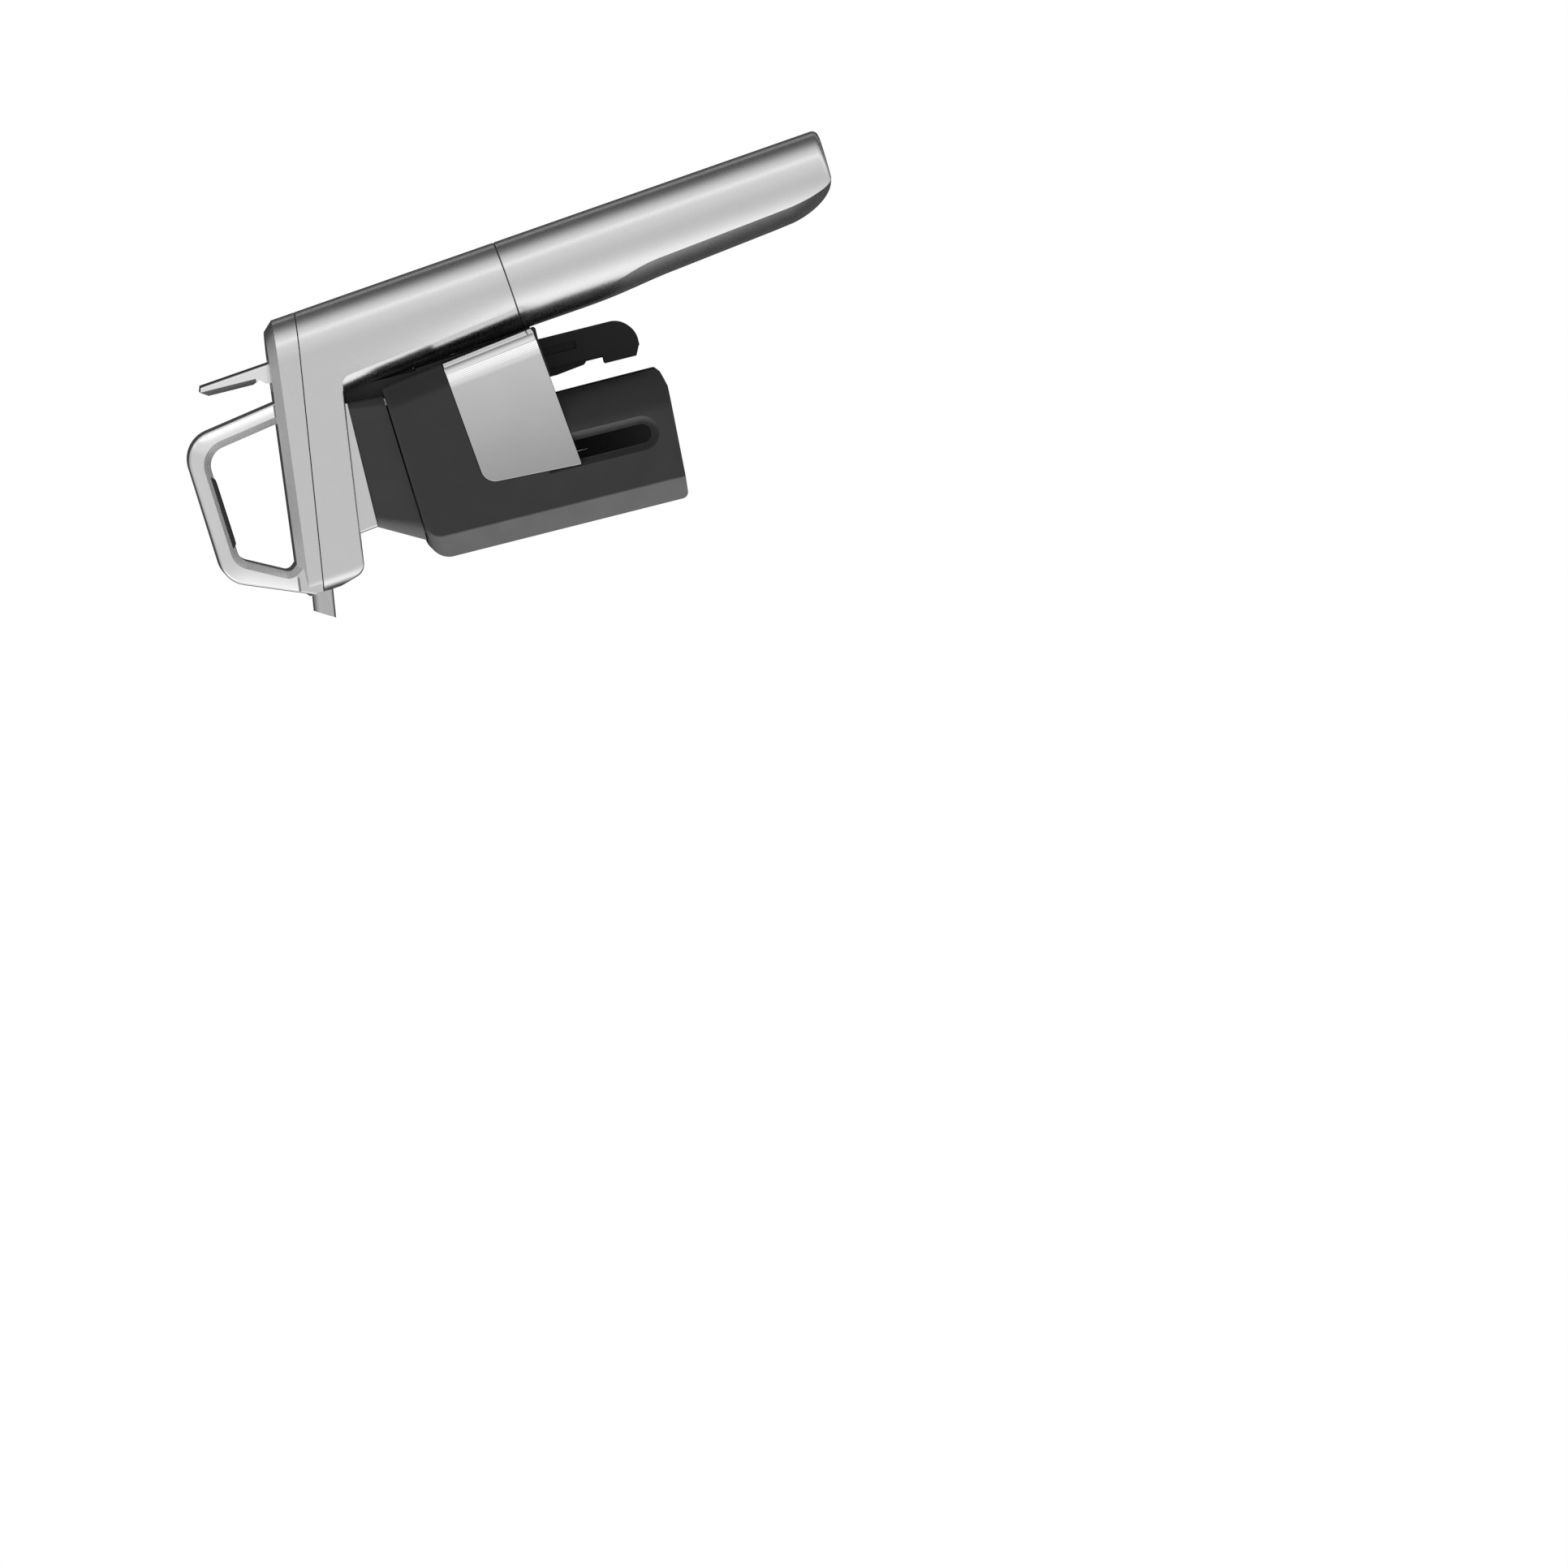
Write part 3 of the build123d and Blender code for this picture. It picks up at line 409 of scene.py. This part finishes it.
def end_rounding(count, power=14.0):
    """Stations from -1 to 1, closer together at the ends, and how full the section is at each:
    the power'th root of 1 - |station| ** power.  They stop just short, at a small flat face."""
    last = 0.9995
    station = np.sin(np.linspace(-1.0, 1.0, count) * np.pi / 2) * last
    return station, (1.0 - np.abs(station) ** power) ** (1.0 / power)


def grooves(count):
    """Raised cosine of a running count of grooves: 0 between them, 1 at the bottom of each."""
    return 0.5 - 0.5 * np.cos(2.0 * np.pi * count)


def one_side(coordinate, steepness):
    """0 on the half of a squircle where a coordinate is below 0, ramping up to 1 on the other."""
    return np.clip(coordinate * steepness, 0.0, 1.0)


def smooth_step(t):
    """0 up to 0, 1 from 1 on, and 3 t squared less 2 t cubed between."""
    t = np.clip(t, 0.0, 1.0)
    return t * t * (3.0 - 2.0 * t)


def turned_points(radius, angle, height):
    """Points at a radius and an angle about the upright axis, and at a height."""
    places = np.broadcast_arrays(radius * np.cos(angle), radius * np.sin(angle), height)
    return np.stack(places, axis=-1)


def handle_points(x, y, z):
    """Points given along the handle's own axes, put into the model's frame."""
    across, way = np.array(HANDLE_ACROSS), np.array(HANDLE_WAY)
    place = np.array(HANDLE_FOOT) / MM + x[..., None] * across
    return place + y[..., None] * np.array([0.0, 1.0, 0.0]) + z[..., None] * way


def skin(rings, looped=False):
    """Faces over closed rings, an array (rings, points, 3): each ring joins the next point by point,
    and the first and last are closed by one flat face each, or join up if the row is looped."""
    rows, count = rings.shape[:2]
    row, point = np.meshgrid(np.arange(rows if looped else rows - 1), np.arange(count), indexing="ij")
    ahead, beside = (row + 1) % rows, (point + 1) % count
    quads = np.stack([row * count + point, row * count + beside,
                      ahead * count + beside, ahead * count + point], axis=-1).reshape(-1, 4).tolist()
    if not looped:
        first = np.arange(count)
        quads += [first[::-1].tolist(), (first + (rows - 1) * count).tolist()]
    return rings.reshape(-1, 3), quads


def add_piece(name, surfaces, body, material, replaced=None, crease=30.0):
    """Mesh object of one or more skinned surfaces, turned so that its faces point outwards, smooth
    but for the edges that turn by more than the crease angle."""
    mesh = bpy.data.meshes.new(name)
    points, faces, start = [], [], 0
    for some_points, some_faces in surfaces:
        points.append(some_points)
        faces += [[corner + start for corner in face] for face in some_faces]
        start += len(some_points)
    mesh.from_pydata((np.concatenate(points) * MM).tolist(), [], faces)
    shell = bmesh.new()
    shell.from_mesh(mesh)
    bmesh.ops.recalc_face_normals(shell, faces=shell.faces)
    shell.to_mesh(mesh)
    shell.free()
    mesh.polygons.foreach_set("use_smooth", np.ones(len(mesh.polygons), dtype=bool))
    mesh.set_sharp_from_angle(angle=math.radians(crease))
    piece = bpy.data.objects.new(name, mesh)
    bpy.context.scene.collection.objects.link(piece)
    dress(piece, material)
    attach(piece, body)
    if replaced:
        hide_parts(replaced)


# --- grips, lip seat and finger strip -------------------------------------------------------
NECK_R, BORE_R = 14.0, 16.2                  # inside and back of the grip pads
PAD_ROWS = [(-50.0, -20.0), (-74.0, -58.0)]  # lowest and highest of each row of them
PAD_ANGLES = [(14.0, 64.0), (114.0, 166.0)]  # start and end of each about the neck, degrees
PAD_GAP = 0.03                               # clear of the bore, and of the neck
PAD_TAPER = 0.06                             # share of its height that a pad loses at its ends
RIB_PITCH, RIB_DEPTH = 2.5, 0.7


def grip_pad(low, high, start, end, side):
    """Strip on the jaw's bore.  Its section is a squircle between the neck's radius and the bore's,
    from low to high, with the inner side waved by a raised cosine of the height, and it is turned
    about the upright axis from the start angle to the end one."""
    out, along = squircle(count=128, power=9.0)
    station, full = end_rounding(count=30)
    full = full[:, None]
    middle, half = (low + high) / 2, (high - low) / 2
    z = middle + along * half
    rib = RIB_DEPTH * grooves((z - low) / RIB_PITCH) * one_side(-out, 4.0)
    depth = (BORE_R - NECK_R - 2 * PAD_GAP) * (0.5 - 0.5 * out) - rib
    angle = np.radians((start + end) / 2 + station * (end - start) / 2)[:, None]
    height = middle + (z - middle) * (1.0 - PAD_TAPER + PAD_TAPER * full)
    return skin(turned_points(BORE_R - PAD_GAP - depth * full, side * angle, height))


LIP_RADII, LIP_HEIGHTS = (7.0, 13.2), (0.0, 1.5)
LIP_PITCH, LIP_DEPTH = 1.55, 0.35            # grooves in its underside


def lip_ring():
    """Ring on the bottle's lip: a squircle section turned about the upright axis, with round grooves
    in its underside, a raised cosine of the radius."""
    (inner, outer), (low, high) = LIP_RADII, LIP_HEIGHTS
    out, up = squircle(count=96, power=6.0)
    radius = (inner + outer) / 2 + out * (outer - inner) / 2
    groove = LIP_DEPTH * grooves((radius - inner) / LIP_PITCH) * one_side(-up, 3.0)
    height = (low + high) / 2 + up * (high - low) / 2 + groove
    angle = np.linspace(0.0, 2.0 * np.pi, 120, endpoint=False)[:, None]
    return skin(turned_points(radius, angle, height), looped=True)


STRIP_ROOF = np.array([(-20.3, 61.6), (3.6, 60.3)])         # (x, z) ends of the pocket's roof
STRIP_MOUTH = np.array([(-18.8, 59.7), (1.9, 58.35)])       # and of its open side
STRIP_GROOVES, STRIP_DEPTH = 7, 0.22         # grooves across its open side
STRIP_GAP, STRIP_TAPER = 0.04, 0.03          # clear of the loop's faces; what it loses at its ends
LOOP_X, LOOP_HALF = (-40.0, 22.6), (6.4, 12.9)              # the loop's half width, along X


def finger_strip():
    """Rubber strip in the loop's outer leg.  Its section is a squircle stretched over the pocket's
    four corners; it runs across the loop, widening with it, and its open side has grooves that are
    a raised cosine of the way across."""
    along, down = squircle(count=112, power=12.0)
    station, full = end_rounding(count=72, power=18.0)
    station, full = station[:, None], full[:, None]
    groove = STRIP_DEPTH * grooves(station * STRIP_GROOVES / 2) * one_side(down, 3.0)
    depth = 0.5 + (0.5 * down - groove) * full
    reach = 0.5 + 0.5 * along * (1.0 - STRIP_TAPER + STRIP_TAPER * full)
    roof = STRIP_ROOF[0] + reach[..., None] * (STRIP_ROOF[1] - STRIP_ROOF[0])
    mouth = STRIP_MOUTH[0] + reach[..., None] * (STRIP_MOUTH[1] - STRIP_MOUTH[0])
    flat = roof + depth[..., None] * (mouth - roof)
    half_width = np.interp(flat[..., 0], LOOP_X, LOOP_HALF) - STRIP_GAP
    return skin(np.stack([flat[..., 0], station * half_width, flat[..., 1]], axis=-1))


# --- handle: screw thread, lower end and packing ----------------------------------------------


def screw_ridge(root, crest, low, high, pitch):
    """Screw thread: a rounded trapezium carried along a right-handed helix about the handle's axis,
    whose crest grows from near the root over the first and last sixth of a turn."""
    turns, steps_a_turn = (high - low) / pitch, 60
    angle = np.linspace(0.0, 2.0 * np.pi * turns, int(turns * steps_a_turn))[:, None]
    out, along = squircle(count=20, power=3.0)
    rise = 0.5 + 0.5 * out
    run_out = np.clip(np.minimum(angle, angle[-1] - angle) / (np.pi / 3), 0.05, 1.0)
    radius = root + (crest - root) * rise * run_out
    root_half, crest_half = 0.36 * pitch, 0.16 * pitch
    half_height = root_half + (crest_half - root_half) * rise
    height = low + angle * pitch / (2.0 * np.pi) + along * half_height
    return skin(handle_points(radius * np.cos(angle), radius * np.sin(angle), height))


CUP_R, CUP_TOP, CUP_END = 14.1, -0.12, -105.54
CUP_CORNER, CUP_LIP = 2.2, 0.22              # rounding at the end, bevel at the top
CUP_LEAN = 0.07                              # its end face leans back by this slope
LEAN_START, LEAN_HINGE = -60.0, -12.5        # gained from this height down, about this x
KEEL_START = -88.0                           # the keel below turns in towards the end from here
LINE_HEIGHT = -44.0                          # height at which the two lines below stand "out" so far
KEEL = {"out": 12.7, "slope": 0.039, "ease": (-48.0, -20.0), "tip": 1.5}
CREASE = {"out": 6.75, "slope": 0.030, "ease": (-46.0, -8.0), "tip": 0.6}
CUP_BORE = [(0.01, -95.0), (3.0, -95.0), (6.0, -92.0), (6.0, -57.15), (9.6, -57.15), (9.6, -12.8),
            (11.8, -12.8), (11.8, CUP_TOP)]  # (radius, height) corners from its floor up


def cup_line(z, line):
    """How far the cup's keel or a crease beside it stands out towards the bottle at a height: a
    straight line that comes in slowly, eased up into the round barrel at the top, and turned in
    to its tip by a quarter of an ellipse at the end."""
    out = line["out"] + line["slope"] * (z - LINE_HEIGHT)
    ease_from, ease_to = line["ease"]
    out = out + (CUP_R - out) * smooth_step((z - ease_from) / (ease_to - ease_from))
    inwards = np.clip((KEEL_START - z) / (KEEL_START - CUP_END), 0.0, 1.0)
    return out - (1.0 - np.sqrt(1.0 - inwards ** 2)) * (out - line["tip"])


def cup_shell():
    """The lower handle.  Each outer section is a circle about the handle's axis, less towards the
    end by a quarter circle, that is cut by a parabola from crease to crease over the keel.  The
    lower sections lean back.  Inside it is round and stepped."""
    around_back, around_front, rows_at_end, step = 110, 34, 45, 3.0
    quarter = np.arccos(np.linspace(1.0, -1.0, rows_at_end)[1:]) / 2
    heights = np.concatenate([[CUP_TOP, CUP_TOP - CUP_LIP], np.arange(-4.0, KEEL_START, -step),
                              KEEL_START + (CUP_END - KEEL_START) * np.sin(quarter)])
    over = np.clip((CUP_END + CUP_CORNER - heights) / CUP_CORNER, 0.0, 1.0)
    radius = CUP_R - CUP_CORNER * (1.0 - np.sqrt(1.0 - over ** 2))
    radius[0] -= CUP_LIP
    heights, radius = heights[:, None], radius[:, None]
    keel = np.minimum(cup_line(heights, KEEL), radius)
    crease = np.minimum(cup_line(heights, CREASE), radius - 0.001)

    start = np.arccos(crease / radius)
    angle = start + (2.0 * np.pi - 2.0 * start) * np.linspace(0.0, 1.0, around_back)
    chord = np.linspace(-1.0, 1.0, around_front + 2)[1:-1]
    x = np.hstack([radius * np.cos(angle), crease + (keel - crease) * (1.0 - chord ** 2)])
    y = np.hstack([radius * np.sin(angle), radius * np.sin(start) * chord])
    leaning = np.clip((LEAN_START - heights) / (LEAN_START - CUP_END), 0.0, 1.0)
    z = heights + leaning * (x - LEAN_HINGE) * CUP_LEAN

    around = np.arctan2(y[0], x[0])
    bore_radius, bore_height = np.array(CUP_BORE).T[..., None]
    x = np.concatenate([bore_radius * np.cos(around), x])
    y = np.concatenate([bore_radius * np.sin(around), y])
    z = np.concatenate([np.broadcast_to(bore_height, (len(CUP_BORE), len(around))), z])
    return skin(handle_points(x, y, z))


RAIL_BACK = -36.2                            # the rail's back along X, where the wedge begins
WEDGE_HALF, WEDGE_FOOT, WEDGE_TOP = 4.8, -7.6, 2.2
WEDGE_SUNK = 0.05                            # how far its edge stands in the barrel


def barrel_wedge():
    """Packing between the rail's back and the barrel: a triangle in X and Z, whose long side runs
    down the barrel, carried across the rail."""
    foot, way = np.array(HANDLE_FOOT) / MM, np.array(HANDLE_WAY)
    slope = way[0] / way[2]
    barrel = foot[0] + (WEDGE_FOOT - foot[2]) * slope + CUP_R * math.hypot(1.0, slope) - WEDGE_SUNK
    corners = np.array([[RAIL_BACK, WEDGE_TOP], [RAIL_BACK, WEDGE_FOOT], [barrel, WEDGE_FOOT]])
    rings = np.stack([np.column_stack([corners[:, 0], np.full(len(corners), side), corners[:, 1]])
                      for side in (-WEDGE_HALF, WEDGE_HALF)])
    return skin(rings)


# --- new pieces -----------------------------------------------------------------------------
RUBBER = FINISHES["rubber"]
for side_name, side in (("left", 1.0), ("right", -1.0)):
    pads = [grip_pad(*row, *angles, side) for row in PAD_ROWS for angles in PAD_ANGLES]
    add_piece(f"ribbed_grips_{side_name}", pads, f"jaw_{side_name}", RUBBER,
              f"grip_pads_{side_name}")
add_piece("grooved_lip_seat", [lip_ring()], "clamp", RUBBER, "lip_seat")
add_piece("grooved_finger_strip", [finger_strip()], "head", RUBBER, "finger_pad")
thread = screw_ridge(root=11.0, crest=11.7, low=-10.9, high=-1.4, pitch=2.5)
add_piece("collar_thread", [thread], "head", FINISHES["brass"])
add_piece("keeled_cup", [cup_shell()], "cup", FINISHES["satin"], "capsule_cup",
          crease=10.0)
add_piece("barrel_wedge", [barrel_wedge()], "head", FINISHES["rail"])

# --- studio ---------------------------------------------------------------------------------
RIGHT = Vector((0.2402, 0.0, -0.9707))       # the view's right, up and towards the camera
UP = Vector((-0.9707, 0.0, -0.2402))
BACK = Vector((0.0, 1.0, 0.0))

# What polished metal sees round the view's own axis: degrees up from the camera, and brightness.
# Pale panels and a lit tube stand above and below the lens, black cloth hangs past each of them.
PANELS = [(-180, 0.03), (-150, 0.08), (-128, 0.04), (-108, 0.08), (-94, 0.26), (-82, 0.62),
          (-70, 0.96), (-56, 1.10), (-42, 0.98), (-28, 0.76), (-12, 0.62), (0, 0.59), (12, 0.61),
          (26, 0.70), (40, 0.74), (50, 0.74), (53, 1.25), (58, 1.25), (61, 0.74), (72, 0.74),
          (81, 0.56), (92, 0.32), (105, 0.12), (125, 0.05), (132, 0.05), (135, 0.50), (140, 0.50),
          (143, 0.06), (165, 0.05), (180, 0.03)]
LEFT_WALL, RIGHT_WALL = 0.34, 0.62           # brightness of the studio's ends
WALL_EDGE = 2.5                              # the higher, the sharper the walls end at the panels
AMBIENT, AMBIENT_LEAN = 0.30, 0.20           # for all that isn't mirrored: its level, less above


def rays(graph, kind):
    """1 for rays of one kind, such as the camera's, and 0 for others."""
    return graph.node("ShaderNodeLightPath", None, None, f"Is {kind} Ray")


def to_the_eye(graph):
    """1 where something is looked at, straight or through a clear piece."""
    return clamp01(rays(graph, "Camera") + rays(graph, "Transmission"))


def make_world():
    """White to the eye, the panels and cloth in the metal, an even grey for everything else."""
    world = bpy.data.worlds.new("studio")
    bpy.context.scene.world = world
    graph = Graph(world)
    way = graph.node("ShaderNodeTexCoord", None, None, "Generated")
    right, up, back = (graph.dot(way, axis) for axis in (RIGHT, UP, BACK))
    turn = up.math("ARCTAN2", back) / (2.0 * math.pi) + 0.5
    stops = [(degrees / 360.0 + 0.5, level) for degrees, level in PANELS]
    bands = graph.node("ShaderNodeValToRGB", {"stops": stops}, {0: turn})
    walls = right * ((RIGHT_WALL - LEFT_WALL) / 2) + (RIGHT_WALL + LEFT_WALL) / 2
    off_axis = clamp01((up * up + back * back) * WALL_EDGE)
    studio = graph.blend(off_axis, graph.grey(walls), bands)
    ambient = graph.grey(up * (-AMBIENT_LEAN) + AMBIENT)
    shade = graph.blend(rays(graph, "Glossy"), ambient, studio)
    shade = graph.blend(to_the_eye(graph), shade, grey(1.0))
    surface = graph.node("ShaderNodeBackground", None, {"Color": shade, "Strength": 1.0})
    graph.node("ShaderNodeOutputWorld", None, {"Surface": surface})


def make_sun(name, towards, power, spread):
    """Wide soft lamp far away in one direction; metal doesn't mirror it."""
    lamp = bpy.data.lights.new(name, "SUN")
    lamp.energy, lamp.angle = power, math.radians(spread)
    body = bpy.data.objects.new(name, lamp)
    body.rotation_mode = "QUATERNION"
    body.rotation_quaternion = Vector(towards).to_track_quat("Z", "Y")
    body.visible_glossy = False
    bpy.context.scene.collection.objects.link(body)


def make_floor():
    """Round pale floor under the handle's end, nearly all white to the eye and not in the metal."""
    radius, gap, points = 0.20, 0.0002, 96
    tone, glow, white_share = 0.90, 1.08, 0.88
    low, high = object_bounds()
    turns = np.linspace(0.0, 2.0 * np.pi, points, endpoint=False)
    middle = (low + high) / 2
    ring = np.column_stack([middle.x + radius * np.cos(turns), radius * np.sin(turns),
                            np.full(points, low.z - gap)])
    mesh = bpy.data.meshes.new("floor")
    mesh.from_pydata(ring.tolist(), [], [list(range(points))])
    floor = bpy.data.objects.new("floor", mesh)
    bpy.context.scene.collection.objects.link(floor)
    material = bpy.data.materials.new("pale_floor")
    graph = Graph(material)
    lit = graph.node("ShaderNodeBsdfDiffuse", None, {"Color": grey(tone)})
    white = graph.node("ShaderNodeEmission", None, {"Color": grey(1.0), "Strength": glow})
    share = to_the_eye(graph) * white_share
    both = graph.node("ShaderNodeMixShader", None, {0: share, 1: lit, 2: white})
    graph.node("ShaderNodeOutputMaterial", None, {"Surface": both})
    mesh.materials.append(material)
    floor.visible_glossy = False


def make_camera():
    """Long lens on the object's +Y side, a little above it and past its spout end."""
    frame_width, distance = 0.483, 12.0
    above, aside = math.radians(2.7), math.radians(2.97)
    pivot = Vector((0.1147, 0.007, -0.0876))
    back = (BACK + UP * math.tan(above) - RIGHT * math.tan(aside)).normalized()
    up = (UP - back * UP.dot(back)).normalized()
    right = up.cross(back)
    data = bpy.data.cameras.new("camera")
    data.sensor_width = 36.0
    data.lens = data.sensor_width * distance / frame_width
    data.clip_start, data.clip_end = 0.1, 30.0
    camera = bpy.data.objects.new("camera", data)
    turn = Matrix((right, up, back)).transposed()
    camera.matrix_world = Matrix.Translation(pivot + back * distance) @ turn.to_4x4()
    bpy.context.scene.collection.objects.link(camera)
    bpy.context.scene.camera = camera


make_world()
make_floor()
make_sun("under", (1.0, 0.05, -0.05), power=10.0, spread=30.0)
make_sun("key", BACK * 0.6 - RIGHT * 0.7 - UP * 0.2, power=0.6, spread=40.0)
make_camera()
bpy.context.scene.view_settings.view_transform = "Standard"
